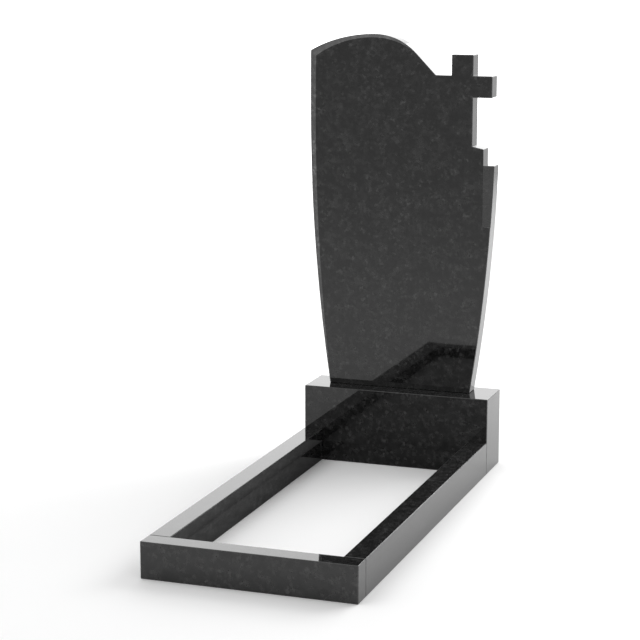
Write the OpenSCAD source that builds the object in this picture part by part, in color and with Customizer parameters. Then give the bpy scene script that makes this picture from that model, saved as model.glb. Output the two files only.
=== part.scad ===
// Grave monument in black stone: a shaped upright stele with a cross cut in its
// top corner, standing on a plinth, and a flower bed of three kerbs in front.
// Millimetres, +Z up, front towards -Y, origin on the ground below the middle of
// the whole monument's box.

/* [Plinth] */
// Width of the plinth, and of the whole monument
plinth_w = 500; // [480:5:700]
// Depth of the plinth, front to back
plinth_d = 130; // [115:5:250]
// Height of the plinth
plinth_h = 200; // [120:5:300]

/* [Kerbs] */
// Length of the bed frame, from its front face to the plinth
bed_l = 1050; // [600:10:1600]
// Height of the kerbs
kerb_h = 85; // [50:5:115]
// Thickness of the kerbs
kerb_t = 50; // [30:5:80]

/* [Stele] */
// Thickness of the stele
stele_t = 50; // [40:5:60]
// Ledge left in front of the stele on the plinth
ledge = 55; // [10:1:60]
// Offset of the stele from the middle of the plinth
stele_shift = -6; // [-20:1:20]
// Width of the stele at its widest
stele_w = 500; // [490:5:540]
// Width of the stele at its foot
foot_w = 385; // [340:5:440]
// Height of the stele at the crown of its arch
stele_h = 925; // [915:5:1000]
// Height at which the curved sides end and the straight ones begin
straight_h = 726; // [700:2:760]

/* [Arch] */
// Distance of the arch's crown to the left of the middle
crown_x = 74; // [60:1:90]
// Radius of the arch to the left of its crown
arch_left_r = 370; // [350:5:420]
// Radius of the arch to the right of its crown
arch_right_r = 160; // [150:1:170]
// Angle at which the right arc turns into the straight slope
slope_angle = 46; // [43:1:50]
// Height of the flat between the slope and the cross
notch_h = 824; // [815:1:830]

/* [Cross] */
// Left edge of the cross's shaft, from the middle
shaft_x = 133; // [130:1:140]
// Width of the cross's shaft
shaft_w = 57; // [46:1:60]
// Height of the cross's right arm
arm_t = 55; // [46:1:60]
// How far the arm stands out to the right of the shaft
arm_out = 50; // [40:1:52]
// Height of the shaft above the arm
head_h = 53; // [40:1:60]
// Height at which the shaft's right edge meets the small shoulder
shoulder_h = 645; // [636:1:660]
// Width of the small shoulder
shoulder_w = 30; // [24:1:32]
// Fall of the small shoulder over its width
shoulder_fall = 6; // [0:1:12]
// Height of the ledge below the shoulder, where the right side begins
side_top_h = 597; // [560:1:600]

/* [Chamfers] */
// Width of the left chamfer where it is widest
chamfer_w = 17; // [8:1:20]
// Width of the left chamfer at the foot
chamfer_foot_w = 3; // [1:1:6]
// Width of the arch's chamfer at the crown
chamfer_crown_w = 8.5; // [2:0.5:10]
// Height of the inner mitre at the top left corner
mitre_h = 866; // [860:1:870]
// Depth of a chamfer for each millimetre of its width
chamfer_slope = 0.5; // [0.3:0.1:0.8]
// Height of the lower end of the facet on the right side
facet_low_h = 440; // [400:5:520]
// Depth of that facet at the outer edge
facet_d = 4; // [2:1:12]

/* [Hidden] */
$fn = 360;
past = 20;                          // how far a cutter runs past what it cuts
half_w = stele_w / 2;
foot_half = foot_w / 2;
total_l = bed_l + plinth_d;
// The stele stands out past the plinth on the left, and the box stays centred
overhang = max(0, half_w - stele_shift - plinth_w / 2);
mid_x = overhang / 2;               // middle of the plinth and the kerbs
front_y = -total_l / 2;             // front face of the front kerb
plinth_y = front_y + bed_l;         // front face of the plinth
stele_y = plinth_y + ledge;         // front face of the stele
side_kerb_l = bed_l - kerb_t;       // the side kerbs butt against the front one

// Radius of the circle that is upright at one height and drawn in by a given
// distance at a lower one
function side_radius(rise, draw_in) = (rise * rise + draw_in * draw_in) / (2 * draw_in);
// Place on a circle at an angle from the top, clockwise
function on_circle(centre, r, angle) = centre + r * [sin(angle), cos(angle)];

side_r = side_radius(straight_h, half_w - foot_half);
inner_half = half_w - chamfer_w;
inner_foot_half = foot_half - chamfer_foot_w;
inner_side_r = side_radius(straight_h, inner_half - inner_foot_half);

left_centre = [-crown_x, stele_h - arch_left_r];
right_centre = [-crown_x, stele_h - arch_right_r];
slope_top = on_circle(right_centre, arch_right_r, slope_angle);
slope_foot_x = slope_top[0] + (slope_top[1] - notch_h) / tan(slope_angle);

// The arch's inner edge is an arc on each side of the crown, level where they meet:
// the left one starts at the mitre, the right one runs out where the slope starts
inner_crown_h = stele_h - chamfer_crown_w;
inner_left_r = side_radius(inner_half - crown_x, inner_crown_h - mitre_h);
inner_right_r = side_radius(slope_top[0] + crown_x, inner_crown_h - slope_top[1]);
chamfer_low_h = mitre_h - 26;       // below here the arch's chamfer has ended
chamfer_end_x = slope_top[0] + 5;   // and right of here

shaft_right = shaft_x + shaft_w;
arm_top = notch_h;
arm_low = arm_top - arm_t;
facet_x = shaft_right + shoulder_w;

// ---- Stele -----------------------------------------------------------------

// Two sides that are straight above straight_h and curve in towards the foot
module tapering_sides() {
    translate([-half_w, straight_h]) square([stele_w, stele_h - straight_h]);
    intersection() {
        translate([-half_w, 0]) square([stele_w, straight_h]);
        translate([side_r - half_w, straight_h]) circle(r = side_r, $fn = 1440);
        translate([half_w - side_r, straight_h]) circle(r = side_r, $fn = 1440);
    }
}

// What is left below the arch, the slope and the flat beside the cross
module below_top_line() {
    translate([-half_w, 0]) square([stele_w, notch_h]);
    intersection() {
        translate(left_centre) circle(r = arch_left_r, $fn = 720);
        translate([-half_w, notch_h - past]) square([half_w - crown_x, stele_h - notch_h + past]);
    }
    intersection() {
        translate(right_centre) circle(r = arch_right_r, $fn = 720);
        translate([-crown_x, notch_h - past])
            square([slope_top[0] + crown_x, stele_h - notch_h + past]);
    }
    polygon([[-crown_x, notch_h - past], [slope_foot_x, notch_h - past],
             [slope_foot_x, notch_h], slope_top, [-crown_x, slope_top[1]]]);
}

// The head and the right arm of the cross, which stand clear of the slab
module cross_head() {
    translate([shaft_x, notch_h - past]) square([shaft_w, past + head_h]);
    translate([shaft_x, arm_low]) square([shaft_w + arm_out, arm_t]);
}

// The stone cut away on the right, under the arm and above the side's own top
module right_cutaway() {
    polygon([[shaft_right, shoulder_h],
             [facet_x, shoulder_h - shoulder_fall], [facet_x, side_top_h],
             [half_w + past, side_top_h], [half_w + past, stele_h + past],
             [shaft_right, stele_h + past]]);
}

module stele_outline() {
    difference() {
        intersection() {
            tapering_sides();
            below_top_line();
        }
        right_cutaway();
    }
    cross_head();
}

// A round taper that widens from the face backwards: its cone is the chamfer
module widening_cone(centre, r) {
    translate([centre[0], -past, centre[1]])
        rotate([-90, 0, 0])
            cylinder(h = stele_t + 2 * past,
                     r1 = r - past / chamfer_slope,
                     r2 = r + (stele_t + past) / chamfer_slope, $fn = 1440);
}

// Everything behind the left side's chamfer
module behind_side_chamfer() {
    widening_cone([inner_side_r - inner_half, straight_h], inner_side_r);
}

// A block from the foot up, through the whole thickness, from one x to another
module full_depth_block(left_x, right_x, height) {
    translate([left_x, -past, -past])
        cube([right_x - left_x, stele_t + 2 * past, height + past]);
}

// Everything behind the arch's chamfer, which dies out where the slope starts
module behind_arch_chamfer() {
    intersection() {
        widening_cone([-crown_x, inner_crown_h - inner_left_r], inner_left_r);
        full_depth_block(-half_w - past, -crown_x, stele_h + past);
    }
    intersection() {
        widening_cone([-crown_x, inner_crown_h - inner_right_r], inner_right_r);
        full_depth_block(-crown_x, half_w + past, stele_h + past);
    }
    full_depth_block(-half_w - past, half_w + past, chamfer_low_h);
    full_depth_block(chamfer_end_x, half_w + past, stele_h + past);
}

// Wedge taken off the face between the shoulder's line and the right side
module right_facet() {
    width = half_w - facet_x;
    translate([facet_x, 0, facet_low_h])
        linear_extrude(side_top_h - facet_low_h + past)
            polygon([[0, 0], [0, -past], [width + past, -past],
                     [width + past, facet_d * (width + past) / width]]);
}

module stele() {
    color("#35363a")
    translate([mid_x + stele_shift, stele_y, plinth_h])
        difference() {
            intersection() {
                translate([0, stele_t, 0])
                    rotate([90, 0, 0]) linear_extrude(stele_t) stele_outline();
                behind_side_chamfer();
                behind_arch_chamfer();
            }
            right_facet();
        }
}

// ---- Plinth and kerbs --------------------------------------------------------

module plinth() {
    color("#2c2d30")
    translate([mid_x - plinth_w / 2, plinth_y, 0])
        cube([plinth_w, plinth_d, plinth_h]);
}

module front_kerb() {
    color("#3b3c3f")
    translate([mid_x - plinth_w / 2, front_y, 0])
        cube([plinth_w, kerb_t, kerb_h]);
}

module side_kerb(side) {
    color("#303134")
    translate([mid_x + side * (plinth_w - kerb_t) / 2 - kerb_t / 2, front_y + kerb_t, 0])
        cube([kerb_t, side_kerb_l, kerb_h]);
}

stele();
plinth();
front_kerb();
side_kerb(-1);  // side_kerb_left
side_kerb(1);  // side_kerb_right
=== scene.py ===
# %% [markdown]
# A grave monument in black gabbro: a shaped upright slab (the stele) with a Latin
# cross cut from its top right corner, the plinth that it stands on, and three kerbs
# round a flower bed. Masons saw such a set from slabs, mill the outline, and then
# polish the faces that show. Everything here is in metres, in the frame that the
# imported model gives, with the front towards -Y and the ground at z = 0.

# %% Load the fixed frame
import math

import bmesh
import bpy
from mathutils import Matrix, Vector


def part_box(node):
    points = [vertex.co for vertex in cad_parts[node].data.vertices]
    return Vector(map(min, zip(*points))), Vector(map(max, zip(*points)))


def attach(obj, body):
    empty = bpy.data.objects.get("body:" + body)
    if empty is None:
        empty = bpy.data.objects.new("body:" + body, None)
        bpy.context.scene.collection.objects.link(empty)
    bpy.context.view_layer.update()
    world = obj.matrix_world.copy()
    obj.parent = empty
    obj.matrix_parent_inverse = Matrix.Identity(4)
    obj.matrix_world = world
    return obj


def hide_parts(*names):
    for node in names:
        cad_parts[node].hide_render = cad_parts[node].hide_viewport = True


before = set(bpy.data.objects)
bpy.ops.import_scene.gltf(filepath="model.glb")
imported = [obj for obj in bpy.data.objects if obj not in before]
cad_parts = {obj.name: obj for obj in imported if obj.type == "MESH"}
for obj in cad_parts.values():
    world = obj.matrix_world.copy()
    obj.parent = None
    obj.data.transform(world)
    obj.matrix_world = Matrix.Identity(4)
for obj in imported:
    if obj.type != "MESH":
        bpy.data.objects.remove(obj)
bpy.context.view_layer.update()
MM = 0.001
print("nodes:", sorted(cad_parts))

# %% [markdown]
# Four small helpers. Stone colours are given as the hex values that a colour picker
# shows, and one function turns them into the linear values that light is counted in.
# One function starts a material with an empty node tree, and one adds a node with its
# settings and its links. Operators act on whatever is selected, so the last function
# leaves exactly one object selected and active. Mix and Map Range have a socket of the
# same name for each type of data, so their colour and vector sockets go by number.

# %% Sockets that go by number
MIX_COLOUR_A, MIX_COLOUR_B, MIX_COLOUR_OUT = 6, 7, 2
VECTOR_TO_MIN, VECTOR_TO_MAX = 9, 10
print("mix colour sockets", MIX_COLOUR_A, MIX_COLOUR_B, "result", MIX_COLOUR_OUT)


# %% Helpers for colour, nodes and selection
def linear(hex_colour):
    """sRGB hex to linear RGBA."""
    channels = [int(hex_colour[i:i + 2], 16) / 255 for i in (1, 3, 5)]
    curved = [c / 12.92 if c <= 0.04045 else ((c + 0.055) / 1.055) ** 2.4 for c in channels]
    return (*curved, 1.0)


def blank_material(name):
    """A material with an empty node tree, and that tree."""
    material = bpy.data.materials.new(name)
    material.use_nodes = True
    material.node_tree.nodes.clear()
    return material, material.node_tree


def add_node(tree, kind, inputs=None, **settings):
    """One node: settings are its own properties, inputs a value or a link for each socket."""
    node = tree.nodes.new(kind)
    for name, value in settings.items():
        setattr(node, name, value)
    for socket, value in (inputs or {}).items():
        if isinstance(value, bpy.types.NodeSocket):
            tree.links.new(value, node.inputs[socket])
        else:
            node.inputs[socket].default_value = value
    return node


def select_only(thing):
    """Leaves one object selected and active."""
    bpy.ops.object.select_all(action="DESELECT")
    thing.select_set(True)
    bpy.context.view_layer.objects.active = thing


print("mid grey #808080 is linear", round(linear("#808080")[0], 3))

# %% [markdown]
# The camera stands to the right of the monument and a little above the crown, and
# looks down at it with a long lens, as in a stonemason's catalogue. A long lens keeps
# the uprights almost parallel. The camera is placed by the point that it looks at, how
# far away it stands and its two angles, because those are easy to check.

# %% Camera
AIM = Vector((-98 * MM, 160 * MM, 443 * MM))
CAMERA_DISTANCE = 4768 * MM
CAMERA_AZIMUTH = math.radians(19.52)
CAMERA_ELEVATION = math.radians(11.31)
LENS_MM = 108.8
SENSOR_MM = 36
VIEW_DEPTH = 500
towards_camera = Vector((
    math.sin(CAMERA_AZIMUTH) * math.cos(CAMERA_ELEVATION),
    -math.cos(CAMERA_AZIMUTH) * math.cos(CAMERA_ELEVATION),
    math.sin(CAMERA_ELEVATION),
))
camera_data = bpy.data.cameras.new("camera")
camera_data.lens = LENS_MM
camera_data.sensor_width = SENSOR_MM
camera_data.clip_end = VIEW_DEPTH
camera = bpy.data.objects.new("camera", camera_data)
camera.location = AIM + towards_camera * CAMERA_DISTANCE
camera.rotation_euler = (math.pi / 2 - CAMERA_ELEVATION, 0, CAMERA_AZIMUTH)
bpy.context.scene.collection.objects.link(camera)
bpy.context.scene.camera = camera
print("camera at", [round(c, 3) for c in camera.location])

# %% [markdown]
# Polished black stone is a dark mirror: most of what the eye sees on it is the light
# around it. So the studio is a plain white tent, lit more strongly from behind than
# from the front. The world gives even, rather low light. A softbox above the front
# makes the ground there a little brighter than the ground far away, which gives the
# slab its slow gradient. A wider softbox above the back and a paper backdrop with a
# painted glow make the narrow sides and the tops shine, because those mirror the ground
# and the wall behind the monument at a flat angle. The slab's high right sides mirror
# the paper's lower right part, where the painted glow is weaker, so that they stay mid
# grey. A last softbox in front of the paper is what the slope mirrors. The Standard
# view keeps whites white.

# %% Studio light
bpy.context.scene.view_settings.view_transform = "Standard"
TENT_STRENGTH = 0.62
world = bpy.data.worlds.new("white_tent")
bpy.context.scene.world = world
world.use_nodes = True
world.node_tree.nodes.clear()
tent = add_node(world.node_tree, "ShaderNodeBackground",
                {"Color": (1, 1, 1, 1), "Strength": TENT_STRENGTH})
add_node(world.node_tree, "ShaderNodeOutputWorld", {"Surface": tent.outputs["Background"]})


def softbox(name, place, aim, size, watts):
    """A square softbox at a place, turned to a point, that the camera itself doesn't see."""
    data = bpy.data.lights.new(name, "AREA")
    data.shape = "SQUARE"
    data.size = size
    data.energy = watts
    lamp = bpy.data.objects.new(name, data)
    lamp.location = place
    lamp.rotation_euler = (Vector(place) - Vector(aim)).to_track_quat("Z", "Y").to_euler()
    lamp.visible_camera = False
    bpy.context.scene.collection.objects.link(lamp)
    print(name, size, "m across,", watts, "W")


softbox("top_softbox", place=(-1.2, -0.7, 3.4), aim=(-0.7, -0.9, 0), size=2.4, watts=32)
softbox("back_softbox", place=(1.9, 2.9, 2.6), aim=(1.3, 2.2, 0), size=3.0, watts=114)
softbox("rim_softbox", place=(0.5, 5.4, 2.5), aim=(0.5, 0, 1), size=1.8, watts=18)

# %% Paper for the backdrop, with a painted glow
BACKDROP_LOW_GLOW = 1.08
BACKDROP_HIGH_GLOW = 2.2
DIM_STARTS_X, DIM_FULL_X = 0.0, 0.8  # the paper dims to the right
DIM_FULL_Z, DIM_ENDS_Z = 0.95, 1.3   # and only in its lower part
# The paper's glow is painted light: it is an emission, not light from a lamp, and it is set weaker
# to the right and in the lower part.
painted_glow_paper, tree = blank_material("painted_glow_white_paper")
paper_place = add_node(tree, "ShaderNodeTexCoord").outputs["Object"]
paper_parts = add_node(tree, "ShaderNodeSeparateXYZ", {"Vector": paper_place})
low_glow = add_node(tree, "ShaderNodeMapRange", {
    "Value": paper_parts.outputs["X"], "From Min": DIM_STARTS_X, "From Max": DIM_FULL_X,
    "To Min": BACKDROP_HIGH_GLOW, "To Max": BACKDROP_LOW_GLOW})
paper_glow = add_node(tree, "ShaderNodeMapRange", {
    "Value": paper_parts.outputs["Z"], "From Min": DIM_FULL_Z, "From Max": DIM_ENDS_Z,
    "To Min": low_glow.outputs["Result"], "To Max": BACKDROP_HIGH_GLOW})
glow = add_node(tree, "ShaderNodeEmission",
                {"Color": (1, 1, 1, 1), "Strength": paper_glow.outputs["Result"]})
add_node(tree, "ShaderNodeOutputMaterial", {"Surface": glow.outputs["Emission"]})
print("paper glows", BACKDROP_LOW_GLOW, "to", BACKDROP_HIGH_GLOW)

# %% Backdrop
BACKDROP_Y = 6.0
BACKDROP_SIZE = (14.0, 4.5)
bpy.ops.object.select_all(action="DESELECT")
bpy.ops.mesh.primitive_plane_add(size=1)
backdrop = bpy.context.object
backdrop.name = "backdrop"
backdrop.data.materials.append(painted_glow_paper)
bpy.ops.object.mode_set(mode="EDIT")
bpy.ops.mesh.select_all(action="SELECT")
bpy.ops.transform.resize(value=(*BACKDROP_SIZE, 1))
bpy.ops.transform.rotate(value=math.pi / 2, orient_axis="X", center_override=(0, 0, 0))
bpy.ops.transform.translate(value=(0, BACKDROP_Y, BACKDROP_SIZE[1] / 2))
bpy.ops.object.mode_set(mode="OBJECT")
print("backdrop", [round(side, 2) for side in backdrop.dimensions])

# %% [markdown]
# All five pieces are the same rock. Gabbro sold as black granite is a tight mass of
# dark pyroxene with greyish plagioclase crystals, a few millimetres each. Polishing
# closes the surface, so the base colour is almost black and the crystals show only
# as faint mottles and a few paler flecks. The mottles have their real size. Crystals
# and flecks are drawn about twice as large as most real ones, and the marks of the
# grit many times coarser, because at their own size none of them would show.

# %% Sizes of the rock's grain
MOTTLE = 22 * MM
CRYSTAL = 9 * MM
FLECK = 7 * MM
BEND = 5 * MM
GRIT_MARK = 1.6 * MM
GABBRO_IOR = 1.55
MOTTLE_SPAN = (0.34, 0.62)  # noise values from all dark to all middle
FLECKS_ABOVE = 0.86         # a cell's random value, above which it is a fleck
for name, size in (("mottle", MOTTLE), ("crystal", CRYSTAL), ("fleck", FLECK), ("grit", GRIT_MARK)):
    print(name, round(size / MM, 1), "mm")

# %% [markdown]
# The grain is one group of nodes for every finish, because it is one block of rock.
# Soft noise gives the mottles, and one random value for each Voronoi cell gives the
# crystals their own shades. Only the brightest few cells of a finer Voronoi become
# flecks. Each finish then sets its own dark, middle and fleck colours.


# %% The grain of gabbro
def gabbro_grain(tree, dark, middle, fleck):
    """Colour of the rock and its single crystals, for one finish."""
    place = add_node(tree, "ShaderNodeTexCoord").outputs["Object"]
    bend = add_node(tree, "ShaderNodeTexNoise", {
        "Vector": place, "Scale": 1 / BEND, "Detail": 2.0})
    bent_place = add_node(tree, "ShaderNodeMapRange", {
        "Vector": bend.outputs["Color"],
        VECTOR_TO_MIN: (-BEND / 2,) * 3, VECTOR_TO_MAX: (BEND / 2,) * 3},
        data_type="FLOAT_VECTOR")
    grain_place = add_node(tree, "ShaderNodeVectorMath", {
        0: place, 1: bent_place.outputs["Vector"]}, operation="ADD").outputs["Vector"]
    mottles = add_node(tree, "ShaderNodeTexNoise", {
        "Vector": place, "Scale": 1 / MOTTLE, "Detail": 3.0, "Roughness": 0.6})
    mottle_share = add_node(tree, "ShaderNodeMapRange", {
        "Value": mottles.outputs["Fac"], "From Min": MOTTLE_SPAN[0],
        "From Max": MOTTLE_SPAN[1]})
    crystals = add_node(tree, "ShaderNodeTexVoronoi", {
        "Vector": grain_place, "Scale": 1 / CRYSTAL})
    crystal_shade = add_node(tree, "ShaderNodeSeparateColor", {
        "Color": crystals.outputs["Color"]})
    share = add_node(tree, "ShaderNodeMath", {
        0: mottle_share.outputs["Result"], 1: crystal_shade.outputs["Red"]},
        operation="MULTIPLY")
    ground = add_node(tree, "ShaderNodeMix", {
        "Factor": share.outputs["Value"],
        MIX_COLOUR_A: linear(dark), MIX_COLOUR_B: linear(middle)},
        data_type="RGBA")
    flecks = add_node(tree, "ShaderNodeTexVoronoi", {
        "Vector": grain_place, "Scale": 1 / FLECK})
    fleck_shade = add_node(tree, "ShaderNodeSeparateColor", {"Color": flecks.outputs["Color"]})
    bright_cells = add_node(tree, "ShaderNodeMapRange", {
        "Value": fleck_shade.outputs["Green"], "From Min": FLECKS_ABOVE, "From Max": 1.0})
    fleck_share = add_node(tree, "ShaderNodeMath", {
        0: bright_cells.outputs["Result"], 1: mottle_share.outputs["Result"]},
        operation="MULTIPLY")
    stone = add_node(tree, "ShaderNodeMix", {
        "Factor": fleck_share.outputs["Value"],
        MIX_COLOUR_A: ground.outputs[MIX_COLOUR_OUT], MIX_COLOUR_B: linear(fleck)},
        data_type="RGBA")
    return place, stone.outputs[MIX_COLOUR_OUT], crystal_shade.outputs["Blue"]


print("grain ready")

# %% [markdown]
# Polished gabbro: worked with finer and finer grit to a mirror. A mirror gloss on a
# stone with a refractive index near 1.55 returns about one twentieth of the light
# head on and much more at a flat angle, so the face looks nearly black and the narrow
# right sides look pale. Crystals take the polish a little differently, and the
# polishing heads leave a very slow waviness.

# %% Polished gabbro
WAVINESS = 70 * MM
WAVE_DEPTH = 0.05 * MM
polished, tree = blank_material("polished_gabbro")
place, stone_colour, crystal = gabbro_grain(tree, "#0f0f0f", "#2b2b2b", "#3c3c3c")
gloss = add_node(tree, "ShaderNodeMapRange", {
    "Value": crystal, "To Min": 0.02, "To Max": 0.035})
waviness = add_node(tree, "ShaderNodeTexNoise", {
    "Vector": place, "Scale": 1 / WAVINESS, "Detail": 1.0})
wavy_normal = add_node(tree, "ShaderNodeBump", {
    "Height": waviness.outputs["Fac"], "Strength": 1.0, "Distance": WAVE_DEPTH})
shader = add_node(tree, "ShaderNodeBsdfPrincipled", {
    "Base Color": stone_colour, "Roughness": gloss.outputs["Result"],
    "Normal": wavy_normal.outputs["Normal"], "IOR": GABBRO_IOR})
add_node(tree, "ShaderNodeOutputMaterial", {"Surface": shader.outputs["BSDF"]})
print("made", polished.name)

# %% [markdown]
# Honed gabbro: rubbed smooth but not closed, as masons leave a chamfer or a back. The
# fine grit marks scatter the light, so the same rock turns mid grey and its crystals
# show more. Bumped noise stands for the grit marks.

# %% Honed gabbro
GRIT_DEPTH = 0.15 * MM
honed, tree = blank_material("honed_gabbro")
place, stone_colour, crystal = gabbro_grain(tree, "#404040", "#5b5b5b", "#767676")
satin = add_node(tree, "ShaderNodeMapRange", {
    "Value": crystal, "To Min": 0.38, "To Max": 0.52})
grit = add_node(tree, "ShaderNodeTexNoise", {
    "Vector": place, "Scale": 1 / GRIT_MARK, "Detail": 3.0})
grit_normal = add_node(tree, "ShaderNodeBump", {
    "Height": grit.outputs["Fac"], "Strength": 0.5, "Distance": GRIT_DEPTH})
shader = add_node(tree, "ShaderNodeBsdfPrincipled", {
    "Base Color": stone_colour, "Roughness": satin.outputs["Result"],
    "Normal": grit_normal.outputs["Normal"], "IOR": GABBRO_IOR})
add_node(tree, "ShaderNodeOutputMaterial", {"Surface": shader.outputs["BSDF"]})
print("made", honed.name)

# %% [markdown]
# Satin gabbro: honed two grits finer than the chamfers, short of a polish. The facet
# on the slab's right has it, and so has every arris that was eased with a hand stone.
# The surface scatters much less, so it is darker and smoother to the eye than a
# chamfer, yet still clearly paler than the mirror face. On the arrises that paler
# colour is also painted highlight: it draws the thin light lines along the edges.

# %% Satin gabbro, with painted edge highlight
FINE_GRIT_DEPTH = 0.05 * MM
satin_and_highlight_stone, tree = blank_material("satin_and_highlight_gabbro")
# The satin's paler colours are partly its finish and partly painted highlight on the arrises.
place, stone_colour, crystal = gabbro_grain(tree, "#343434", "#3e3e3e", "#4c4c4c")
sheen = add_node(tree, "ShaderNodeMapRange", {
    "Value": crystal, "To Min": 0.24, "To Max": 0.32})
fine_grit = add_node(tree, "ShaderNodeTexNoise", {
    "Vector": place, "Scale": 1 / GRIT_MARK, "Detail": 3.0})
fine_normal = add_node(tree, "ShaderNodeBump", {
    "Height": fine_grit.outputs["Fac"], "Strength": 0.3, "Distance": FINE_GRIT_DEPTH})
shader = add_node(tree, "ShaderNodeBsdfPrincipled", {
    "Base Color": stone_colour, "Roughness": sheen.outputs["Result"],
    "Normal": fine_normal.outputs["Normal"], "IOR": GABBRO_IOR})
add_node(tree, "ShaderNodeOutputMaterial", {"Surface": shader.outputs["BSDF"]})
print("made", satin_and_highlight_stone.name)

# %% [markdown]
# Sawn gabbro: the faces that nobody sees, straight from the diamond blade. It is the
# palest and dullest of the four finishes. The blade leaves shallow parallel marks, a
# few millimetres apart, and Wave bands bent by a little noise give those. A Wave
# texture at Scale 1 runs through twenty radians in a metre, so the scale that puts one
# whole wave in a mark's spacing follows from that.

# %% Sawn gabbro
SAW_MARK = 6 * MM
SAW_DEPTH = 0.3 * MM
WAVE_RADIANS = 20
sawn, tree = blank_material("sawn_gabbro")
place, stone_colour, crystal = gabbro_grain(tree, "#555555", "#6a6a6a", "#848484")
dull = add_node(tree, "ShaderNodeMapRange", {
    "Value": crystal, "To Min": 0.7, "To Max": 0.85})
blade = add_node(tree, "ShaderNodeTexWave", {
    "Vector": place, "Scale": math.tau / (WAVE_RADIANS * SAW_MARK),
    "Distortion": 1.5, "Detail": 2.0}, wave_type="BANDS", bands_direction="X")
blade_normal = add_node(tree, "ShaderNodeBump", {
    "Height": blade.outputs["Fac"], "Strength": 0.6, "Distance": SAW_DEPTH})
shader = add_node(tree, "ShaderNodeBsdfPrincipled", {
    "Base Color": stone_colour, "Roughness": dull.outputs["Result"],
    "Normal": blade_normal.outputs["Normal"], "IOR": GABBRO_IOR})
add_node(tree, "ShaderNodeOutputMaterial", {"Surface": shader.outputs["BSDF"]})
print("made", sawn.name)

# %% [markdown]
# The plinth and the kerbs are sawn blocks with polished faces. No mason leaves a
# polished edge sharp, because it would chip: each arris is eased by almost two
# millimetres with a hand stone, which leaves it satin. The eased edges show as thin
# light lines, partly from the light they catch and partly from the satin's paler
# colour, which is painted highlight. Where two blocks meet they make the small V
# joint. So each block is a cube shaped in edit mode to its box, and its edges are
# bevelled. The bevel gives its new faces the satin finish.

# %% Helper for a sawn and eased block
ARRIS = 1.8 * MM
ARRIS_STEPS = 2
SQUARE_ON = 0.9             # a normal this far along an axis faces that way
POLISHED_SLOT, HONED_SLOT, SAWN_SLOT, SATIN_AND_HIGHLIGHT_SLOT = 0, 1, 2, 3


def finish_faces(thing, honed_face, sawn_face):
    """Gives each face its finish by its own normal and place."""
    for material in (polished, honed, sawn, satin_and_highlight_stone):
        thing.data.materials.append(material)
    for face in thing.data.polygons:
        face.material_index = POLISHED_SLOT
        if honed_face(face):
            face.material_index = HONED_SLOT
        if sawn_face(face):
            face.material_index = SAWN_SLOT


def stone_block(name, node, honed_face, sawn_face):
    """A cube shaped in edit mode to a node's box, with finishes and eased arrises."""
    low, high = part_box(node)
    bpy.ops.object.select_all(action="DESELECT")
    bpy.ops.mesh.primitive_cube_add(size=1)
    block = bpy.context.object
    block.name = name
    bpy.ops.object.mode_set(mode="EDIT")
    bpy.ops.mesh.select_all(action="SELECT")
    bpy.ops.transform.resize(value=high - low)
    bpy.ops.transform.translate(value=(low + high) / 2)
    bpy.ops.object.mode_set(mode="OBJECT")
    finish_faces(block, honed_face, sawn_face)
    bpy.ops.object.mode_set(mode="EDIT")
    bpy.ops.mesh.select_all(action="SELECT")
    # The bevel's faces take the satin slot, whose paler colour paints a thin highlight along each
    # edge.
    bpy.ops.mesh.bevel(offset=ARRIS, segments=ARRIS_STEPS, affect="EDGES", material=SATIN_AND_HIGHLIGHT_SLOT)
    bpy.ops.object.mode_set(mode="OBJECT")
    print(name, "mm:", [round(1000 * s) for s in block.dimensions],
          len(block.data.polygons), "faces")
    return block


# %% [markdown]
# The plinth carries the slab's weight. Its front, sides and top are polished, its back
# is honed, and it was bedded on mortar, so its underside is left from the saw.

# %% Plinth
plinth = stone_block("plinth_stone", "plinth",
                     honed_face=lambda face: face.normal.y > SQUARE_ON,
                     sawn_face=lambda face: face.normal.z < -SQUARE_ON)

# %% [markdown]
# The front kerb runs the full width, and the side kerbs butt against its back and
# against the plinth. The butting ends and the undersides are sawn. The two side kerbs
# are one stone cut twice, so the right one is a copy with its own mesh, moved over in
# edit mode by the distance between the two nodes' boxes.

# %% Kerbs
front_kerb = stone_block("front_kerb_stone", "front_kerb",
                         honed_face=lambda face: False,
                         sawn_face=lambda face: face.normal.z < -SQUARE_ON)
left_kerb = stone_block("side_kerb_left_stone", "side_kerb_left",
                        honed_face=lambda face: False,
                        sawn_face=lambda face: (face.normal.z < -SQUARE_ON
                                                or abs(face.normal.y) > SQUARE_ON))
right_kerb = bpy.data.objects.new("side_kerb_right_stone", left_kerb.data.copy())
bpy.context.scene.collection.objects.link(right_kerb)
select_only(right_kerb)
bpy.ops.object.mode_set(mode="EDIT")
bpy.ops.mesh.select_all(action="SELECT")
bpy.ops.transform.translate(value=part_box("side_kerb_right")[0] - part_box("side_kerb_left")[0])
bpy.ops.object.mode_set(mode="OBJECT")

# %% [markdown]
# The stele's outline, its two chamfers that taper along a curve, and the facet on its
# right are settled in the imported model. Drawing them again by hand would only bring
# small errors in, so the slab starts as a copy of that node. The copy's loose
# triangles are merged, and the flat faces become single faces again.

# %% Stele: a clean copy of the slab
SAME_PLACE = 0.01 * MM
FLAT_ENOUGH = math.radians(0.2)
stele = bpy.data.objects.new("stele_stone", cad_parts["stele"].data.copy())
bpy.context.scene.collection.objects.link(stele)
select_only(stele)
stele.data.materials.clear()
bpy.ops.mesh.customdata_custom_splitnormals_clear()
bpy.ops.object.mode_set(mode="EDIT")
bpy.ops.mesh.select_all(action="SELECT")
bpy.ops.mesh.remove_doubles(threshold=SAME_PLACE)
bpy.ops.mesh.dissolve_limited(angle_limit=FLAT_ENOUGH)
bpy.ops.object.mode_set(mode="OBJECT")
print("stele:", len(stele.data.polygons), "faces after merging")

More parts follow.
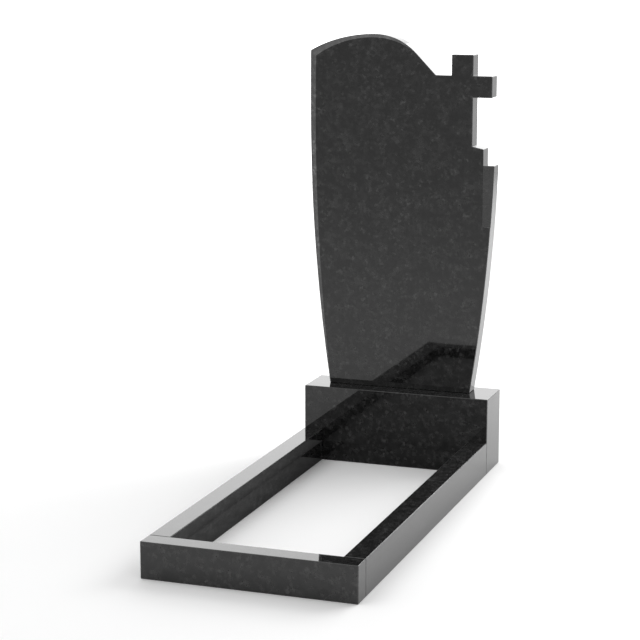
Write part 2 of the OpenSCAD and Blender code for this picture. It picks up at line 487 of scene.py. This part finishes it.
# %% [markdown]
# Face and sides are polished. What leans between the face and the sides is a chamfer,
# honed, or the facet on the right, satin, and both read as paler bands. The back is
# honed too, and the foot is sawn. After that the outer edges are eased, but only where
# the stone turns a real corner outwards: the inner line of a chamfer stays crisp, and
# an inner corner can't be rubbed round from outside. The strips of the round arches
# turn by less than six degrees each and are shaded as one curve. The facet's edge
# turns by more than seven, and stays sharp.

# %% Stele: finishes
FACET_LEFT = 200 * MM
STELE_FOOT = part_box("stele")[0].z + MM
FLATTEST_LEAN, STEEPEST_LEAN = -0.997, -0.5  # Y of the normals that lean


def leans_forward(face):
    """A face between the slab's flat front and its sides."""
    return FLATTEST_LEAN < face.normal.y < STEEPEST_LEAN


finish_faces(stele,
             honed_face=lambda face: face.normal.y > SQUARE_ON or leans_forward(face),
             sawn_face=lambda face: face.normal.z < -SQUARE_ON and face.center.z < STELE_FOOT)
for face in stele.data.polygons:
    if leans_forward(face) and face.center.x > FACET_LEFT:
        face.material_index = SATIN_AND_HIGHLIGHT_SLOT
print("leaning faces:", sum(leans_forward(face) for face in stele.data.polygons))

# %% Stele: eased arrises
CORNER = math.radians(35)
SMOOTH_BELOW = math.radians(7)
bpy.ops.object.mode_set(mode="EDIT")
bpy.ops.mesh.select_mode(type="EDGE")
bpy.ops.mesh.select_all(action="DESELECT")
shape = bmesh.from_edit_mesh(stele.data)
for edge in shape.edges:
    edge.select_set(len(edge.link_faces) == 2 and edge.is_convex
                    and edge.calc_face_angle(0) > CORNER)
print("edges to ease:", sum(edge.select for edge in shape.edges))
bmesh.update_edit_mesh(stele.data)
# The eased faces take the satin slot, whose paler colour paints a thin highlight along each edge.
bpy.ops.mesh.bevel(offset=ARRIS, segments=ARRIS_STEPS, affect="EDGES", material=SATIN_AND_HIGHLIGHT_SLOT)
bpy.ops.object.mode_set(mode="OBJECT")
bpy.ops.object.shade_smooth_by_angle(angle=SMOOTH_BELOW)
print("stele mm:", [round(1000 * s) for s in stele.dimensions], len(stele.data.polygons), "faces")

# %% [markdown]
# The floor is plain and pale, far larger than the view, so that no edge of it shows.
# Its colour varies by a shade, like a painted studio floor.

# %% Floor
painted, tree = blank_material("pale_painted_floor")
place = add_node(tree, "ShaderNodeTexCoord").outputs["Object"]
patches = add_node(tree, "ShaderNodeTexNoise", {"Vector": place, "Scale": 1.5, "Detail": 2.0})
paint = add_node(tree, "ShaderNodeMix", {
    "Factor": patches.outputs["Fac"],
    MIX_COLOUR_A: linear("#f4f4f4"), MIX_COLOUR_B: linear("#f8f8f8")},
    data_type="RGBA")
shader = add_node(tree, "ShaderNodeBsdfPrincipled", {
    "Base Color": paint.outputs[MIX_COLOUR_OUT], "Roughness": 0.9, "IOR": 1.3})
add_node(tree, "ShaderNodeOutputMaterial", {"Surface": shader.outputs["BSDF"]})
FLOOR_RADIUS = 150
FLOOR_SIDES = 96
bpy.ops.object.select_all(action="DESELECT")
bpy.ops.mesh.primitive_circle_add(vertices=FLOOR_SIDES, radius=FLOOR_RADIUS, fill_type="NGON")
floor = bpy.context.object
floor.name = "floor"
floor.data.materials.append(painted)
print("floor radius", FLOOR_RADIUS, "m")

# %% [markdown]
# Soil or plants would lie between the kerbs. They aren't part of the monument, but the
# polished plinth and slab always mirror them, dark, inside the darker line of the
# kerbs. Dark cloth stands for them, once at the height of a fill and once on the
# ground, for the stone below that height. It is seen in reflections only, gives no
# shade, and belongs to the studio.

# %% Dark cloth in the bed
cloth_dye, tree = blank_material("dark_cloth")
place = add_node(tree, "ShaderNodeTexCoord").outputs["Object"]
folds = add_node(tree, "ShaderNodeTexNoise", {"Vector": place, "Scale": 14, "Detail": 4.0})
dye = add_node(tree, "ShaderNodeMix", {
    "Factor": folds.outputs["Fac"],
    MIX_COLOUR_A: linear("#686868"), MIX_COLOUR_B: linear("#a4a4a4")},
    data_type="RGBA")
shader = add_node(tree, "ShaderNodeBsdfPrincipled", {
    "Base Color": dye.outputs[MIX_COLOUR_OUT], "Roughness": 0.9})
add_node(tree, "ShaderNodeOutputMaterial", {"Surface": shader.outputs["BSDF"]})
bed_low = Vector((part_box("side_kerb_left")[1].x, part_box("front_kerb")[1].y, 0))
bed_high = Vector((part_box("side_kerb_right")[0].x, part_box("plinth")[0].y, 0))
CLOTH_HEIGHTS = {"ground_cloth": 2 * MM, "fill_cloth": 52 * MM}
for name, height in CLOTH_HEIGHTS.items():
    bpy.ops.object.select_all(action="DESELECT")
    bpy.ops.mesh.primitive_plane_add(size=1)
    cloth = bpy.context.object
    cloth.name = name
    cloth.data.materials.append(cloth_dye)
    bpy.ops.object.mode_set(mode="EDIT")
    bpy.ops.mesh.select_all(action="SELECT")
    bpy.ops.transform.resize(value=(bed_high.x - bed_low.x, bed_high.y - bed_low.y, 1))
    bpy.ops.transform.translate(value=(bed_low + bed_high) / 2 + Vector((0, 0, height)))
    bpy.ops.object.mode_set(mode="OBJECT")
    cloth.visible_camera = False
    cloth.visible_diffuse = False
    cloth.visible_shadow = False
    cloth.visible_transmission = False
    print(name, "mm:", [round(1000 * side) for side in cloth.dimensions])

# %% [markdown]
# Each stone rides on the monument's one body and stands for its node, which is hidden.
# The table also gives each a finish slot, which nothing here reads.

# %% Hand the pieces over
STONES = {
    "stele": (stele, "stele_stone"),
    "plinth": (plinth, "plinth_stone"),
    "front_kerb": (front_kerb, "kerb_stone"),
    "side_kerb_left": (left_kerb, "kerb_stone"),
    "side_kerb_right": (right_kerb, "kerb_stone"),
}
for node, (stone, slot) in STONES.items():
    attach(stone, "root")
    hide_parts(node)
